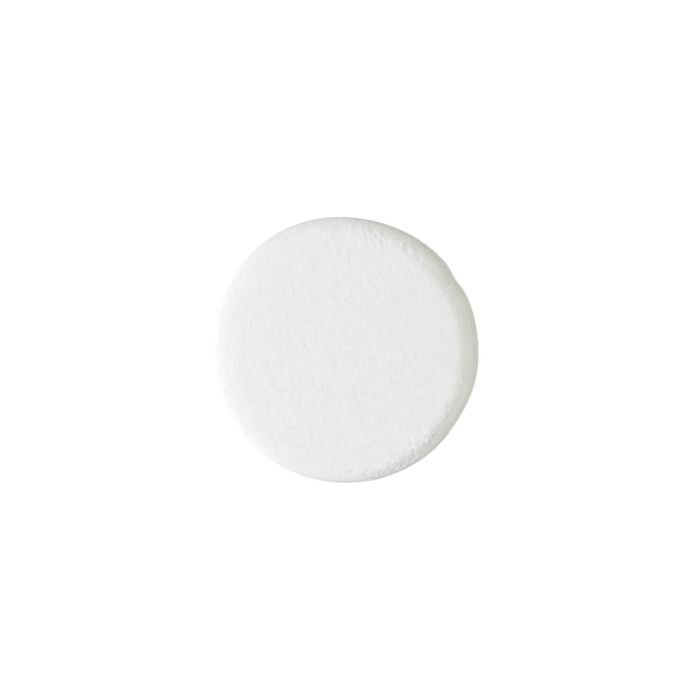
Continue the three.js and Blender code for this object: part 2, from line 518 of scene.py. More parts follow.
def build_cage(side):
    """One side of the cover from its middle to the seam: points, quads, place on the flat cloth,
    drop, and the rings of point numbers."""
    reach, bearing = disc_grid()
    face_radius = reach * face_edge(bearing, side)
    height = crowned(side, face_radius / outline(bearing))
    loop = disc_loop()
    around = bearing[loop]
    rings = np.array([(face_radius[loop], height[loop])] + stations(side, around))
    count = len(rings) - 1
    steps = np.diff(rings, axis=0)
    lengths = np.cumsum(np.append(rings[:1, 0], np.hypot(steps[:, 0], steps[:, 1]), axis=0), axis=0)
    loops = [loop] + ring_numbers(len(reach), len(around), count)
    r = np.append(face_radius, rings[1:, 0])
    z = np.append(height, rings[1:, 1])
    s = np.append(face_radius, lengths[1:])
    b = np.append(bearing, np.tile(around, count))
    drop = np.append(0 * reach, np.repeat(np.arange(1, count + 1) / count, len(around)))
    points = ring_at(b, r, SEAM_HEIGHT + side.up * z)
    cloth = np.stack([s * np.cos(b), s * np.sin(b)], axis=-1)
    quads = np.concatenate([disc_quads()] + ring_strips(loops[:-1], loops[1:]))
    if side.up < 0:
        quads = quads[:, ::-1]
    return Cage(points, quads, cloth, drop, loops)


# Cloth simulation of the two covers, joined at the seam

def weigh(piece, name, weights):
    group = piece.vertex_groups.new(name=name)
    for level in np.unique(weights):
        group.add(np.nonzero(weights == level)[0].tolist(), float(level), "REPLACE")


def hold_cover(piece, rest, down):
    """Pins the seam and the resting face, holds the other points lightly, and gathers the wall."""
    hold = np.round(HOLD_FACE - HOLD_LOST * ramp(down, HOLD_ZONE), WEIGHT_DIGITS)
    resting = (rest[:, 2] < RESTING_HEIGHT) & (down < ON_FACE)
    weigh(piece, "hold", np.where((down > AT_SEAM) | resting, 1.0, hold))
    weigh(piece, "gather", np.round(ramp(down, GATHER_ZONE), WEIGHT_DIGITS))


def add_cloth(piece):
    cloth = piece.modifiers.new("Cloth", "CLOTH")
    settings = cloth.settings
    settings.quality = 6
    settings.mass = 0.2
    settings.tension_stiffness = 12
    settings.compression_stiffness = 12
    settings.shear_stiffness = 6
    settings.bending_stiffness = 0.1
    settings.use_pressure = True
    settings.uniform_pressure_force = SIM_PRESSURE
    settings.vertex_group_mass = "hold"
    settings.pin_stiffness = 1.0
    settings.vertex_group_shrink = "gather"
    settings.shrink_min = 0.0
    settings.shrink_max = -0.03
    settings.effector_weights.gravity = 0
    cloth.collision_settings.use_collision = False
    cloth.collision_settings.use_self_collision = False
    cloth.point_cache.frame_start = 1
    cloth.point_cache.frame_end = SIM_FRAMES


def evaluated(piece):
    return piece.evaluated_get(bpy.context.evaluated_depsgraph_get())


def join_cages(front, rear):
    """Both cages as one closed cover: points, drop and quads, and where each cage's points are in it."""
    shared = len(front.points)
    renumber = np.arange(len(rear.points)) + shared
    renumber[rear.loops[-1]] = front.loops[-1]
    points = np.concatenate([front.points, rear.points])
    drop = np.concatenate([front.drop, rear.drop])
    quads = np.concatenate([front.quads, renumber[rear.quads]])
    used = np.unique(quads)
    compact = np.full(len(points), -1)
    compact[used] = np.arange(len(used))
    return points[used], drop[used], compact[quads], compact[:shared], compact[renumber]


def simulate(front, rear):
    """Inflates the closed cover, which is held at its seam and lightly over its faces."""
    rest, down, quads, front_places, rear_places = join_cages(front, rear)
    piece = make_object("cover_cloth", make_mesh("cover_cloth", rest * SIM_SCALE, [quads]))
    hold_cover(piece, rest, down)
    add_cloth(piece)
    scene = bpy.context.scene
    for number in range(1, SIM_FRAMES + 1):
        scene.frame_set(number)
    shown = evaluated(piece)
    moved = mesh_points(shown.to_mesh()) / SIM_SCALE
    shown.to_mesh_clear()
    scene.frame_set(1)
    discard(piece)
    step = moved - rest
    size = np.linalg.norm(step, axis=1, keepdims=True)
    settled = rest + step * np.minimum(1, SIM_CAP / np.maximum(size, 1e-9))
    return front._replace(points=settled[front_places]), rear._replace(points=settled[rear_places])


# Fine outer surface of a cover

def subdivided(cage):
    mesh = make_mesh("cage", cage.points, [cage.quads])
    carried = {"cloth_x": cage.cloth[:, 0], "cloth_y": cage.cloth[:, 1], "drop": cage.drop}
    for name, values in carried.items():
        mesh.attributes.new(name, "FLOAT", "POINT").data.foreach_set("value", values)
    piece = make_object("cage", mesh)
    piece.modifiers.new("Subdivision", "SUBSURF").levels = SUBDIVISIONS
    shown = evaluated(piece)
    fine = shown.to_mesh()
    points = mesh_points(fine)
    quads = np.empty(len(fine.loops), dtype=np.int32)
    fine.loops.foreach_get("vertex_index", quads)
    quads = quads.reshape(-1, 4)
    x, y, drop = (read_attribute(fine, name) for name in carried)
    cloth = np.stack([x, y], axis=-1)
    shown.to_mesh_clear()
    discard(piece)
    return Surface(points, vertex_normals(points, quads), quads, cloth, drop)


def along_nap(cloth):
    """Places on the flat cloth as distance across the nap and along it."""
    return cloth[:, 0] * NAP[1] - cloth[:, 1] * NAP[0], cloth @ NAP


def tuft_relief(cloth, seed):
    """Height of the massed pile over the cloth, in small tufts along the nap."""
    across, along = along_nap(cloth)
    column = across / TUFT_WIDTH
    row = along / TUFT_LENGTH
    relief = TUFT_HEIGHT * noise(column, row, seed)
    relief += TUFT_HEIGHT * FINE_SHARE * noise(column * FINE_RATE, row * FINE_RATE, seed + 1)
    relief += TUFT_HEIGHT * BROAD_SHARE * noise(across / BROAD_WIDTH, along / BROAD_LENGTH, seed + 2)
    return relief


def fleck_relief(cloth, seed):
    """Height of the few tufts that stand up or part."""
    rng = np.random.default_rng(seed)
    relief = np.zeros(len(cloth))
    reach = np.abs(cloth).max()
    places = rng.uniform(-reach, reach, (FLECK_COUNT, 2))
    ways = rng.choice([-1.0, 1.0], FLECK_COUNT)
    heights = ways * rng.uniform(FLECK_LEAST, 1.0, FLECK_COUNT) * FLECK_HEIGHT
    for place, height in zip(places, heights):
        near = np.abs(cloth - place).max(1) < FLECK_REACH
        across, along = along_nap(cloth[near] - place)
        relief[near] += height * np.exp(-(across / FLECK_WIDTH) ** 2 - (along / FLECK_LENGTH) ** 2)
    return relief


def calmness(points):
    """How much of its relief and pile each place keeps: less towards the brushed-flat left side."""
    outer = ramp(radius_of(points) / RADIUS, CALM_ZONE)
    return 1 - outer * bearing_bumps(bearing_of(points), CALM_BUMPS)


def raise_pile(surface, side, seed):
    """Gives the surface its pile's relief, stronger on the wall and on ragged parts of the rim."""
    bearing = bearing_of(surface.points)
    rim = ramp(radius_of(surface.points) / outline(bearing), RIM_ZONE)
    edge = EDGE_TUFTS * rim * np.exp(-(((surface.drop - EDGE_DROP) / EDGE_DROP) ** 2))
    stronger = 1 + WALL_TUFTS * ramp(surface.drop, WALL_ZONE)
    flecks = fleck_relief(surface.cloth, seed + 3)
    if side.up > 0:
        stronger += edge * bearing_bumps(bearing, EDGE_TUFT_BUMPS)
        flecks *= 1 + edge * bearing_bumps(bearing, EDGE_FLECK_BUMPS)
    fade = 1 - ramp(surface.drop, FADE_ZONE)
    relief = (tuft_relief(surface.cloth, seed) * stronger + flecks) * fade * calmness(surface.points)
    points = surface.points + surface.normals * relief[:, None]
    points[:, 2] += side.up * SEAM_LIFT * ramp(surface.drop, LIFT_ZONE)
    return surface._replace(points=points, normals=vertex_normals(points, surface.quads))


# Closed cover: the fine outside, the turned-in allowance and the inside

def seam_edge(surface, start):
    """Points along the open edge of the surface, counter-clockwise from a bearing."""
    edge = np.nonzero(surface.drop > AT_SEAM)[0]
    bearing = bearing_of(surface.points[edge])
    order = np.argsort(bearing)
    away = np.abs(np.angle(np.exp(1j * (bearing[order] - start))))
    return np.roll(edge[order], -np.argmin(away))


def fan_faces(fine, coarse):
    """Triangles from a fine ring to a coarse one with a whole share of its points."""
    share = len(fine) // len(coarse)
    half = share // 2
    faces = []
    for k, here in enumerate(coarse):
        there = coarse[(k + 1) % len(coarse)]
        run = [fine[(k * share + j) % len(fine)] for j in range(share + 1)]
        for j in range(share):
            faces.append((run[j], run[j + 1], here if j < half else there))
        faces.append((here, run[half], there))
    return np.array(faces)


def inner_rings(cage, side, inset, foot_height):
    """The cage without its lobe, moved in by inset, with the loop that ends its wall over the seam."""
    loops = cage.loops[:-len(LOBE_ANGLES) - 1]
    count = loops[-1][-1] + 1
    normals = vertex_normals(cage.points, cage.quads)
    points = (cage.points - normals * inset)[:count]
    height = np.maximum(side.up * (points[:, 2] - SEAM_HEIGHT), foot_height + FOOT_STEP)
    height[loops[-1]] = foot_height
    points[:, 2] = SEAM_HEIGHT + side.up * height
    quads = cage.quads[(cage.quads < count).all(1)]
    return points, quads, loops[-1]


def cover_mesh(name, surface, cage, side):
    inside, inside_quads, foot = inner_rings(cage, side, COVER_THICKNESS - PILE_STAND, ALLOWANCE_TOP)
    bearing = bearing_of(inside[foot])
    inside[foot, :2] *= np.maximum(1, FOOT_RADIUS / radius_of(inside[foot]))[:, None]
    heights = [SEAM_HEIGHT + side.up * rise for rise in (ALLOWANCE_TOP, HALF_GAP)]
    rings = [ring_at(bearing, ALLOWANCE_RADIUS, height) for height in heights]
    points = np.concatenate([surface.points, inside, *rings])
    offset = len(surface.points)
    numbers = [foot + offset] + ring_numbers(offset + len(inside), len(bearing), len(rings))
    strips = ring_strips(numbers[1:], numbers[:-1])
    fan = fan_faces(seam_edge(surface, bearing[0]), numbers[-1])
    if side.up > 0:
        fan = fan[:, ::-1]
    else:
        strips = flipped(strips)
    faces = [surface.quads, inside_quads[:, ::-1] + offset, *strips, fan]
    return make_mesh(name, points, faces)


# Pile strands

def blend_corners(values, quads, s, t):
    corner = values[quads]
    s = s[:, None]
    t = t[:, None]
    near = corner[:, 0] * (1 - s) + corner[:, 1] * s
    far = corner[:, 3] * (1 - s) + corner[:, 2] * s
    return near * (1 - t) + far * t


def quad_sides(values, quads):
    corner = values[quads]
    first = corner[:, 1] + corner[:, 2] - corner[:, 0] - corner[:, 3]
    second = corner[:, 3] + corner[:, 2] - corner[:, 0] - corner[:, 1]
    return first, second


def cloth_to_surface(surface, quads, steps):
    """Turns steps on the flat cloth into steps along the surface at the given quads."""
    first, second = quad_sides(surface.points, quads)
    one, two = quad_sides(surface.cloth, quads)
    area = one[:, 0] * two[:, 1] - one[:, 1] * two[:, 0]
    area = np.where(np.abs(area) < 1e-9, 1e-9, area)
    a = (steps[:, 0] * two[:, 1] - steps[:, 1] * two[:, 0]) / area
    b = (one[:, 0] * steps[:, 1] - one[:, 1] * steps[:, 0]) / area
    return first * a[:, None] + second * b[:, None]


def clump_steps(cloth, seed):
    """From each place on the cloth to the middle of its tuft."""
    across, along = along_nap(cloth)
    column = np.floor(across / TUFT_WIDTH).astype(int)
    stagger = 0.5 * (column & 1)
    row = np.floor(along / TUFT_LENGTH + stagger).astype(int)
    jitter = np.random.default_rng(seed).uniform(*CLUMP_SPREAD, (NOISE_SIZE, NOISE_SIZE, 2))
    jitter = jitter[column % NOISE_SIZE, row % NOISE_SIZE]
    step_across = (column + jitter[:, 0]) * TUFT_WIDTH - across
    step_along = (row - stagger + jitter[:, 1]) * TUFT_LENGTH - along
    x = step_across * NAP[1] + step_along * NAP[0]
    y = -step_across * NAP[0] + step_along * NAP[1]
    return np.stack([x, y], axis=-1)


def turned_nap(turn):
    """The direction of the nap on the flat cloth, turned by angles."""
    x = NAP[0] * np.cos(turn) - NAP[1] * np.sin(turn)
    y = NAP[0] * np.sin(turn) + NAP[1] * np.cos(turn)
    return np.stack([x, y], axis=-1)


def pick_roots(surface, count, weights, rng):
    """Places chosen by the area and the weight of quads, with the quads that they lie on."""
    share = np.linalg.norm(quad_normals(surface.points, surface.quads), axis=1) / 2 * weights
    picked = surface.quads[rng.choice(len(share), count, p=share / share.sum())]
    s, t = rng.uniform(0, 1, (2, count))
    points = blend_corners(surface.points, picked, s, t)
    normals = unit(blend_corners(surface.normals, picked, s, t))
    cloth = blend_corners(surface.cloth, picked, s, t)
    drop = blend_corners(surface.drop[:, None], picked, s, t)[:, 0]
    return Surface(points, normals, picked, cloth, drop)


def shade_strands(mesh, normals, share):
    """Lights a strand mostly as the surface that it lies on, and partly by its own form."""
    own = np.empty(len(mesh.vertices) * 3)
    mesh.vertex_normals.foreach_get("vector", own)
    shared = np.repeat(normals, 4, axis=0)
    mixed = unit(shared * share + own.reshape(-1, 3) * (1 - share))
    mesh.normals_split_custom_set_from_vertices(mixed.tolist())


def paint_strands(mesh, tones):
    """A map whose u is a strand's tone and whose v runs from its root to its tip."""
    vertex = np.empty(len(mesh.loops), dtype=np.int32)
    mesh.loops.foreach_get("vertex_index", vertex)
    strand, corner = vertex // 4, vertex % 4
    u = tones[strand] + CORNER_TONES[corner]
    v = CORNER_LENGTHS[corner]
    layer = mesh.uv_layers.new(name=PILE_MAP)
    layer.data.foreach_set("uv", np.stack([u, v], axis=-1).ravel())


def spike_faces(points, count):
    """The faces of all spikes, turned to look outwards."""
    first = np.arange(count)[:, None] * 4
    faces = np.concatenate([first + np.array(face) for face in SPIKE_FACES])
    corner = points[faces[:count]]
    middle = points.reshape(-1, 4, 3).mean(1)
    normal = np.cross(corner[:, 1] - corner[:, 0], corner[:, 2] - corner[:, 0])
    facing = (normal * (corner[:, 0] - middle)).sum(1)
    wrong = np.tile(facing < 0, len(SPIKE_FACES))
    faces[wrong] = faces[wrong][:, ::-1]
    return faces


def spike_mesh(name, roots, tips, normals, width, shading, rng):
    """Closed three-sided spikes from just under their roots to their tips."""
    count = len(roots)
    axis = unit(tips - roots)
    side_way = unit(np.cross(normals, axis))
    up_way = np.cross(axis, side_way)
    foot = roots - normals * STRAND_BURY
    half = width / 2 * rng.uniform(*SPIKE_SPREAD, count)[:, None]
    ridge = foot + up_way * half * SPIKE_RIDGE
    base = foot - up_way * half * SPIKE_BASE
    corners = [ridge, base - side_way * half, base + side_way * half, tips]
    points = np.stack(corners, axis=1).reshape(-1, 3)
    mesh = make_mesh(name, points, [spike_faces(points, count)])
    paint_strands(mesh, rng.uniform(*TONE_SPREAD, count))
    shade_strands(mesh, normals, shading)
    return mesh


def strand_roots(surface, side, count, drops, rng):
    """Roots between two drops, more of them near the seam and fewer where the pile is calm."""
    drop = surface.drop[surface.quads].mean(1)
    middle = surface.points[surface.quads].mean(1)
    over_seam = side.up * (middle[:, 2] - SEAM_HEIGHT)
    weights = (drop >= drops[0]) & (drop < drops[1])
    weights = weights * (1 + SEAM_SHARE * (over_seam < SEAM_BAND)) * calmness(middle)
    return pick_roots(surface, count, weights, rng)


def strand_ways(surface, side, roots, brushed, rng):
    """Directions along the surface, with the nap or brushed over the seam."""
    count = len(brushed)
    nap = turned_nap(rng.normal(0, NAP_SWAY, count))
    tangent = along_surface(cloth_to_surface(surface, roots.quads, nap), roots.normals)
    seamward = along_surface(np.tile([0.0, 0.0, -side.up], (count, 1)), roots.normals)
    return unit(tangent * (1 - SEAM_TURN * brushed)[:, None] + seamward * brushed[:, None])


def strand_mesh(name, surface, side, count, drops, seed, floor=None):
    """The pile on the part of the surface between two drops."""
    rng = np.random.default_rng(seed)
    roots = strand_roots(surface, side, count, drops, rng)
    over_seam = side.up * (roots.points[:, 2] - SEAM_HEIGHT)
    brushed = smooth((SEAM_BAND - over_seam) / SEAM_BAND_FADE)
    tangent = strand_ways(surface, side, roots, brushed, rng)
    pull = cloth_to_surface(surface, roots.quads, clump_steps(roots.cloth, seed + 7)) * STRAND_PULL
    pull -= roots.normals * (pull * roots.normals).sum(1, keepdims=True)
    on_wall = ramp(roots.drop, SHOULDER_ZONE)
    lean = STRAND_LEAN + (WALL_LEAN - STRAND_LEAN) * on_wall
    lean += rng.normal(0, LEAN_SPREAD, count) * (1 - WALL_STEADY * on_wall)
    lean -= SEAM_STAND * smooth((SEAM_DEEP - over_seam) / SEAM_DEEP_FADE)
    length = STRAND_LENGTH * rng.uniform(*STRAND_SPREAD, count)
    length *= 1 - WALL_SHORTER * on_wall + SEAM_LONGER * brushed
    rise = roots.normals * np.cos(lean)[:, None] + tangent * np.sin(lean)[:, None]
    tips = roots.points + rise * length[:, None] + pull
    if floor is not None:
        tips[:, 2] = np.maximum(tips[:, 2], floor + rng.uniform(0, FLOOR_SPREAD, count))
    return spike_mesh(name, roots.points, tips, roots.normals, STRAND_WIDTH, STRAND_SHADING, rng)


def tuft_places(surface, rng):
    """Places along the ragged parts of the edge of the face."""
    drop = surface.drop[surface.quads].mean(1)
    middle = surface.points[surface.quads].mean(1)
    bearing = bearing_of(middle)
    inside = face_edge(bearing, FRONT) - radius_of(middle)
    ragged = np.maximum(bearing_bumps(bearing, RAGGED_BUMPS) - RAGGED_LEAST, 0)
    weights = ((inside < TUFT_BAND) & (drop < TUFT_DROP)) * ragged
    return pick_roots(surface, RAGGED_TUFTS, weights, rng)


def each_strand(values):
    return np.repeat(values, TUFT_STRANDS, axis=0)


def tuft_mesh(name, surface, seed):
    """Tufts of a few strands drawn together, along the edge of the face."""
    rng = np.random.default_rng(seed)
    tufts = tuft_places(surface, rng)
    flat_way = turned_nap(rng.normal(0, TUFT_SWAY, RAGGED_TUFTS))
    slope = rng.normal(*TUFT_SLOPE, (RAGGED_TUFTS, 1))
    way = np.concatenate([flat_way, slope], 1)
    way -= tufts.normals * (way * tufts.normals).sum(1, keepdims=True) * TUFT_CLING
    tips = tufts.points + way * TUFT_REACH * rng.uniform(*TUFT_REACH_SPREAD, (RAGGED_TUFTS, 1))
    tips += tufts.normals * TUFT_LIFT
    count = RAGGED_TUFTS * TUFT_STRANDS
    normals = each_strand(tufts.normals)
    along = each_strand(unit(tips - tufts.points))
    across = unit(np.cross(normals, along))
    aside = rng.normal(0, TUFT_SPREAD / 2, (count, 1))
    roots = each_strand(tufts.points) + across * aside
    roots -= along * rng.uniform(0, TUFT_ROOT_SPREAD, (count, 1))
    ends = each_strand(tips) + across * aside * TUFT_GATHER
    ends += along * rng.normal(0, TUFT_END_SPREAD, (count, 1))
    upward = unit(normals + [0, 0, 1])
    return spike_mesh(name, roots, ends, upward, TUFT_STRAND_WIDTH, TUFT_SHADING, rng)


# Filling

def batting_mesh(name, cage, side, foam_face, seed):
    inset = COVER_THICKNESS - PILE_STAND + LAYER_GAP
    outside, quads, foot = inner_rings(cage, side, inset, THREAD_ROOF)
    lumps = LUMP_HEIGHT * noise(outside[:, 0] / LUMP_WIDTH, outside[:, 1] / LUMP_WIDTH, seed) - LUMP_HEIGHT
    lumps[foot] = 0
    outside = outside + vertex_normals(outside, quads) * lumps[:, None]
    bearing = bearing_of(outside[foot])
    roof = SEAM_HEIGHT + side.up * THREAD_ROOF
    under = SEAM_HEIGHT + side.up * (foam_face + LAYER_GAP)
    rings = [ring_at(bearing, ALLOWANCE_RADIUS, height) for height in (roof, under)]
    reach, turn = disc_grid()
    inside = ring_at(turn, reach * (ALLOWANCE_RADIUS - LID_STEP), under)
    points = np.concatenate([outside, *rings, inside])
    start = len(outside) + len(rings) * len(bearing)
    numbers = [foot] + ring_numbers(len(outside), len(bearing), len(rings)) + [disc_loop() + start]
    hidden = ring_strips(numbers[1:], numbers[:-1]) + [disc_quads() + start]
    if side.up > 0:
        hidden = flipped(hidden)
    return make_mesh(name, points, [quads, *hidden])


def foam_wall(around, number, height):
    pores = noise(around * WALL_PORE_RATE, np.full_like(around, number), 62)
    return ring_at(around, FOAM_RADIUS - PORE_DEPTH + PORE_DEPTH * pores, height)


def foam_mesh(name):
    reach, turn = disc_grid()
    low, high = SEAM_HEIGHT - FOAM_DOWN, SEAM_HEIGHT + FOAM_UP
    loop = disc_loop()
    around = turn[loop]
    x = reach * PORE_RATE * np.cos(turn)
    y = reach * PORE_RATE * np.sin(turn)
    pores = np.outer(PORE_DEPTH * noise(x, y, 61) - PORE_DEPTH, (0, 0, 1))
    flat = reach * (FOAM_RADIUS - FOAM_BEVEL)
    top = ring_at(turn, flat, high) + pores
    base = ring_at(turn, flat, low) - pores
    heights = np.linspace(high - FOAM_BEVEL, low + FOAM_BEVEL, FOAM_RINGS)
    walls = [foam_wall(around, k, height) for k, height in enumerate(heights)]
    points = np.concatenate([top, *walls, base])
    start = len(top) + len(walls) * len(around)
    numbers = [loop] + ring_numbers(len(top), len(around), len(walls)) + [loop + start]
    strips = ring_strips(numbers[:-1], numbers[1:])
    return make_mesh(name, points, [disc_quads(), *strips, disc_quads()[:, ::-1] + start])


# Sewing

def seam_point(bearing, radius, height):
    return (radius * math.cos(bearing), radius * math.sin(bearing), SEAM_HEIGHT + height)


def seam_path(up):
    """A machine thread on one side of the allowances that dips past their middle at each stitch."""
    start = TURNING_BEARING + TURNING_ANGLE / 2
    sewn = 2 * math.pi - TURNING_ANGLE
    count = math.floor(sewn * STITCH_RADIUS / STITCH_LENGTH)
    radius = STITCH_RADIUS + up * THREAD_OFFSET
    bite, tail = STITCH_BITE / radius, THREAD_TAIL / radius
    run = up * THREAD_RUN
    points = [seam_point(start - bite - tail, radius, run)]
    for k in range(count + 1):
        bearing = start + sewn * k / count
        points.append(seam_point(bearing - bite, radius, run))
        points.append(seam_point(bearing, radius, -up * THREAD_RADIUS))
        points.append(seam_point(bearing + bite, radius, run))
        if k < count:
            points.append(seam_point(bearing + sewn / count / 2, radius, run))
    points.append(seam_point(start + sewn + bite + tail, radius, run))
    return rounded(np.array(points), CORNER_ROUNDS)


def closing_path():
    """Hand stitches that wind round the two folded edges over the turning gap."""
    points = []
    for k in range(CLOSING_TURNS * CLOSING_STEPS + 1):
        turn = k / CLOSING_STEPS
        bearing = TURNING_BEARING + (turn - CLOSING_TURNS / 2) * CLOSING_PITCH / CLOSING_RADIUS
        angle = math.pi + 2 * math.pi * turn
        radius = CLOSING_RADIUS + THREAD_RUN * math.cos(angle)
        points.append(seam_point(bearing, radius, THREAD_RUN * math.sin(angle)))
    return np.array(points)


def rounded(points, rounds):
    for _ in range(rounds):
        near = points[:-1] * (1 - CORNER_CUT) + points[1:] * CORNER_CUT
        far = points[:-1] * CORNER_CUT + points[1:] * (1 - CORNER_CUT)
        points = np.concatenate([points[:1], np.stack([near, far], 1).reshape(-1, 3), points[-1:]])
    return points


def respaced(points, spacing):
    steps = np.linalg.norm(np.diff(points, axis=0), axis=1)
    along = np.concatenate([[0], np.cumsum(steps)])
    places = np.linspace(0, along[-1], int(along[-1] / spacing) + 2)
    return np.stack([np.interp(places, along, points[:, k]) for k in range(3)], -1), places


def carried_frames(line):
    """Two directions square to a line all along it, carried without twist."""
    tangent = unit(np.gradient(line, axis=0))
    out = np.array([0.0, 0.0, 1.0])
    first = []
    for direction in tangent:
        out = out - direction * (out @ direction)
        out = out / np.linalg.norm(out)
        first.append(out)
    first = np.array(first)
    return first, np.cross(tangent, first)


def tube_faces(start, length):
    index = start + np.arange(length * PLY_SIDES).reshape(length, PLY_SIDES)
    around = np.roll(index, -1, axis=1)
    quads = np.stack([index[:-1], around[:-1], around[1:], index[1:]], -1).reshape(-1, 4)
    return [quads, index[:1, ::-1], index[-1:]]


def thread_mesh(name, path):
    """Plies twisted round each other along a path."""
    line, places = respaced(path, THREAD_SPACING)
    first, second = carried_frames(line)
    ply_radius = THREAD_RADIUS / 2
    points, faces = [], []
    for ply in range(PLIES):
        twist = 2 * math.pi * (places / TWIST_LENGTH + ply / PLIES)
        centre = line + ply_radius * (first * np.cos(twist)[:, None] + second * np.sin(twist)[:, None])
        rings = []
        for k in range(PLY_SIDES):
            angle = 2 * math.pi * k / PLY_SIDES
            rings.append(centre + ply_radius * (first * math.cos(angle) + second * math.sin(angle)))
        points.append(np.stack(rings, 1).reshape(-1, 3))
        faces += tube_faces(ply * len(line) * PLY_SIDES, len(line))
    return make_mesh(name, np.concatenate(points), faces)


# Materials

def link(output, socket):
    """Links two sockets of one node tree."""
    output.id_data.links.new(output, socket)


def node_tree(owner):
    owner.use_nodes = True
    return owner.node_tree.nodes


def new_material(name):
    material = bpy.data.materials.new(name)
    nodes = node_tree(material)
    return material, nodes, nodes["Principled BSDF"]


def add_ramp(nodes, low, high, low_at=0.3, high_at=0.7):
    colours = nodes.new("ShaderNodeValToRGB")
    ends = colours.color_ramp.elements
    ends[0].position = low_at
    ends[1].position = high_at
    ends[0].color = (*low, 1)
    ends[1].color = (*high, 1)
    return colours


def add_noise(nodes, grain):
    """Noise over the object's own coordinates, stretched along its axes."""
    place = nodes.new("ShaderNodeTexCoord")
    mapping = nodes.new("ShaderNodeMapping")
    mapping.inputs["Scale"].default_value = grain.stretch
    texture = nodes.new("ShaderNodeTexNoise")
    texture.inputs["Scale"].default_value = grain.scale
    texture.inputs["Detail"].default_value = grain.detail
    link(place.outputs["Object"], mapping.inputs["Vector"])
    link(mapping.outputs["Vector"], texture.inputs["Vector"])
    return texture.outputs["Fac"]


def add_bump(nodes, height, strength, distance):
    bump = nodes.new("ShaderNodeBump")
    bump.inputs["Strength"].default_value = strength
    bump.inputs["Distance"].default_value = distance
    link(height, bump.inputs["Height"])
    return bump.outputs["Normal"]


def cloth_finish(shader, roughness, sheen):
    shader.inputs["Roughness"].default_value = roughness
    shader.inputs["Specular IOR Level"].default_value = CLOTH_SPECULAR
    shader.inputs["Sheen Weight"].default_value = sheen
    shader.inputs["Sheen Roughness"].default_value = SHEEN_ROUGHNESS


def cloth_material(name, finish):
    """Coloured by one grain, and roughened by the same one or by a second."""
    material, nodes, shader = new_material(name)
    colours = add_ramp(nodes, finish.low, finish.high)
    grain = add_noise(nodes, finish.grain)
    link(grain, colours.inputs["Fac"])
    link(colours.outputs["Color"], shader.inputs["Base Color"])
    if finish.bump_grain:
        grain = add_noise(nodes, finish.bump_grain)
    link(add_bump(nodes, grain, finish.bump, finish.depth), shader.inputs["Normal"])
    cloth_finish(shader, CLOTH_ROUGHNESS, finish.sheen)
    return material


def multiplied(nodes, first, second):
    mix = nodes.new("ShaderNodeMix")
    mix.data_type = "RGBA"
    mix.blend_type = "MULTIPLY"
    mix.inputs["Factor"].default_value = 1.0
    link(first, mix.inputs["A"])
    link(second, mix.inputs["B"])
    return mix.outputs["Result"]


def pile_material():
    """Each strand has its own tone, from a range painted lighter than the cloth as painted light for the
    light that real fibres let through, and is a little lighter towards its tip, with painted shade at its
    root.
    """
    material, nodes, shader = new_material("pile")
    place = nodes.new("ShaderNodeUVMap")
    place.uv_map = PILE_MAP
    split = nodes.new("ShaderNodeSeparateXYZ")
    # Each strand's own tone, from a range painted lighter than the cloth as painted light
    tone = add_ramp(nodes, PAINTED_LIGHT_TONE_LOW, PAINTED_LIGHT_TONE_HIGH, 0.0, 1.0)
    # Painted shade at the strand's root, fading out towards its tip
    length = add_ramp(nodes, ROOT_SHADE_COLOUR, WHITE, 0.0, TIP_FROM)
    link(place.outputs["UV"], split.inputs["Vector"])
    link(split.outputs["X"], tone.inputs["Fac"])
    link(split.outputs["Y"], length.inputs["Fac"])
    colour = multiplied(nodes, tone.outputs["Color"], length.outputs["Color"])
    link(colour, shader.inputs["Base Color"])
    cloth_finish(shader, PILE_ROUGHNESS, PILE_SHEEN)
    return material


# Floor, light and camera

def greater(nodes, first, second):
    larger = nodes.new("ShaderNodeMath")
    larger.operation = "MAXIMUM"
    link(first, larger.inputs[0])
    link(second, larger.inputs[1])
    return larger.outputs[0]


def mixed_shader(nodes, share, first, second):
    mix = nodes.new("ShaderNodeMixShader")
    link(share, mix.inputs[0])
    link(first, mix.inputs[1])
    link(second, mix.inputs[2])
    return mix.outputs[0]


def grey_shader(nodes, level):
    shader = nodes.new("ShaderNodeBsdfDiffuse")
    shader.inputs["Color"].default_value = (level, level, level, 1)
    return shader.outputs[0]


def floor_material():
    """White with a faint shadow to the camera, mirrors and glass, and a pale matt floor to other rays."""
    material = bpy.data.materials.new("floor")
    nodes = node_tree(material)
    nodes.clear()
    out = nodes.new("ShaderNodeOutputMaterial")
    rays = nodes.new("ShaderNodeLightPath").outputs
    direct = greater(nodes, rays["Is Camera Ray"], rays["Is Glossy Ray"])
    direct = greater(nodes, direct, rays["Is Transmission Ray"])
    glow = nodes.new("ShaderNodeEmission")
    glow.inputs["Strength"].default_value = FLOOR_GLOW
    white = nodes.new("ShaderNodeAddShader")
    link(grey_shader(nodes, FLOOR_SHADE), white.inputs[0])
    link(glow.outputs[0], white.inputs[1])
    pale = grey_shader(nodes, FLOOR_PALE)
    link(mixed_shader(nodes, direct, pale, white.outputs[0]), out.inputs["Surface"])
    return material


def add_floor():
    corners = [(-1, -1), (1, -1), (1, 1), (-1, 1)]
    points = [(x * FLOOR_REACH, y * FLOOR_REACH, FLOOR_HEIGHT) for x, y in corners]
    floor = make_object("floor", make_mesh("floor", points, [[[0, 1, 2, 3]]]))
    floor.data.materials.append(floor_material())


def direction_to(bearing, elevation):
    turn, rise = math.radians(bearing), math.radians(elevation)
    return Vector((math.cos(turn) * math.cos(rise), math.sin(turn) * math.cos(rise), math.sin(rise)))


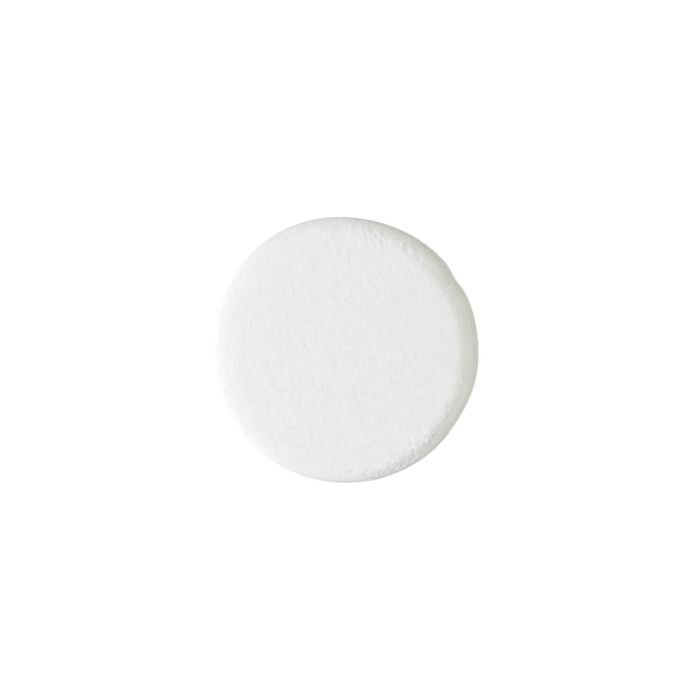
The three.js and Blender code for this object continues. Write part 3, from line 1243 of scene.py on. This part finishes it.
def room_colour(nodes):
    """Light from all round that is stronger on one side."""
    place = nodes.new("ShaderNodeTexCoord")
    toward = nodes.new("ShaderNodeVectorMath")
    toward.operation = "DOT_PRODUCT"
    toward.inputs[1].default_value = direction_to(ROOM_BEARING, 0)
    level = nodes.new("ShaderNodeMapRange")
    level.inputs["From Min"].default_value = -1
    room = nodes.new("ShaderNodeMix")
    room.data_type = "RGBA"
    room.inputs["A"].default_value = [1 - slope for slope in ROOM_SLOPES] + [1]
    room.inputs["B"].default_value = [1 + slope for slope in ROOM_SLOPES] + [1]
    link(place.outputs["Generated"], toward.inputs[0])
    link(toward.outputs["Value"], level.inputs["Value"])
    link(level.outputs["Result"], room.inputs["Factor"])
    return room.outputs["Result"]


def add_world():
    """White to the camera, and the room to every other ray."""
    world = bpy.data.worlds.new("studio")
    bpy.context.scene.world = world
    nodes = node_tree(world)
    nodes.clear()
    out = nodes.new("ShaderNodeOutputWorld")
    ambient = nodes.new("ShaderNodeBackground")
    ambient.inputs["Strength"].default_value = WORLD_STRENGTH
    link(room_colour(nodes), ambient.inputs["Color"])
    white = nodes.new("ShaderNodeBackground")
    white.inputs["Color"].default_value = (1, 1, 1, 1)
    seen = nodes.new("ShaderNodeLightPath").outputs["Is Camera Ray"]
    shown = mixed_shader(nodes, seen, ambient.outputs[0], white.outputs[0])
    link(shown, out.inputs["Surface"])


def add_lamp(lamp):
    light = bpy.data.lights.new(lamp.name, "AREA")
    light.shape = "DISK"
    light.size = lamp.size
    light.energy = lamp.power
    light.color = lamp.colour
    softbox = make_object(lamp.name, light)
    direction = direction_to(lamp.bearing, lamp.elevation)
    softbox.location = direction * LAMP_DISTANCE
    softbox.rotation_euler = direction.to_track_quat("Z", "Y").to_euler()


def add_camera():
    """Looks at the face from a little to the right of its axis, with +Y up in the picture."""
    back = direction_to(CAMERA_BEARING, 90 - CAMERA_TILT)
    right = Vector((0, 1, 0)).cross(back).normalized()
    up = back.cross(right)
    middle = IMAGE_WIDTH / 2
    aim = Vector((0, 0, SEAM_HEIGHT + (FRONT_DEPTH - REAR_DEPTH) / 2))
    aim += right * (middle - IMAGE_CENTRE[0]) / PIXELS_PER_MM
    aim += up * (IMAGE_CENTRE[1] - middle) / PIXELS_PER_MM
    lens = bpy.data.cameras.new("camera")
    lens.sensor_width = SENSOR_WIDTH
    lens.lens = PIXELS_PER_MM * SENSOR_WIDTH * CAMERA_DISTANCE / IMAGE_WIDTH
    lens.clip_start = CAMERA_NEAR
    camera = make_object("camera", lens)
    turn = Matrix((right, up, back)).transposed().to_4x4()
    camera.matrix_world = Matrix.Translation((aim + back * CAMERA_DISTANCE) * MM) @ turn
    bpy.context.scene.camera = camera


# The pieces

def add_piece(mesh, material, slot, *nodes):
    """A piece with its mesh's name, in place of the CAD nodes that are given."""
    piece = make_object(mesh.name, mesh)
    piece.data.materials.append(material)
    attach(piece, "root")
    if nodes:
        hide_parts(*nodes)
    return piece


def add_pile(mesh):
    add_piece(mesh, pile, "velour")


bpy.context.scene.view_settings.view_transform = "Standard"
add_camera()
add_floor()
add_world()
for lamp in LAMPS:
    add_lamp(lamp)

front_cage = build_cage(FRONT)
rear_cage = build_cage(REAR)
front_cage, rear_cage = simulate(front_cage, rear_cage)
front_surface = raise_pile(subdivided(front_cage), FRONT, 11)
rear_surface = raise_pile(subdivided(rear_cage), REAR, 21)

velour = cloth_material("velour", VELOUR)
pile = pile_material()
foam = cloth_material("foam", FOAM)
wadding = cloth_material("wadding", WADDING)
thread = cloth_material("thread", THREAD)

front_cover = cover_mesh("front_velour", front_surface, front_cage, FRONT)
rear_cover = cover_mesh("rear_velour", rear_surface, rear_cage, REAR)
covers = [
    add_piece(front_cover, velour, "velour", "front_cover"),
    add_piece(rear_cover, velour, "velour", "rear_cover"),
]
add_pile(strand_mesh("front_pile", front_surface, FRONT, FACE_STRANDS, FACE_DROPS, 31))
add_pile(tuft_mesh("edge_tufts", front_surface, 35))
add_pile(strand_mesh("front_wall_pile", front_surface, FRONT, WALL_STRANDS, WALL_DROPS, 32))
add_pile(strand_mesh("rear_wall_pile", rear_surface, REAR, REAR_WALL_STRANDS, WALL_DROPS, 33, PILE_FLOOR))
add_pile(strand_mesh("rear_pile", rear_surface, REAR, REAR_STRANDS, FACE_DROPS, 34, PILE_FLOOR))

front_batting = batting_mesh("front_batting", front_cage, FRONT, FOAM_UP, 41)
rear_batting = batting_mesh("rear_batting", rear_cage, REAR, FOAM_DOWN, 42)
fillings = [
    add_piece(front_batting, wadding, "wadding", "front_wadding"),
    add_piece(rear_batting, wadding, "wadding", "rear_wadding"),
    add_piece(foam_mesh("foam_disc"), foam, "foam", "foam_core"),
]
add_piece(thread_mesh("needle_stitches", seam_path(1)), thread, "thread", "needle_thread")
add_piece(thread_mesh("bobbin_stitches", seam_path(-1)), thread, "thread", "bobbin_thread")
add_piece(thread_mesh("closing_stitches", closing_path()), thread, "thread", "closing_thread")
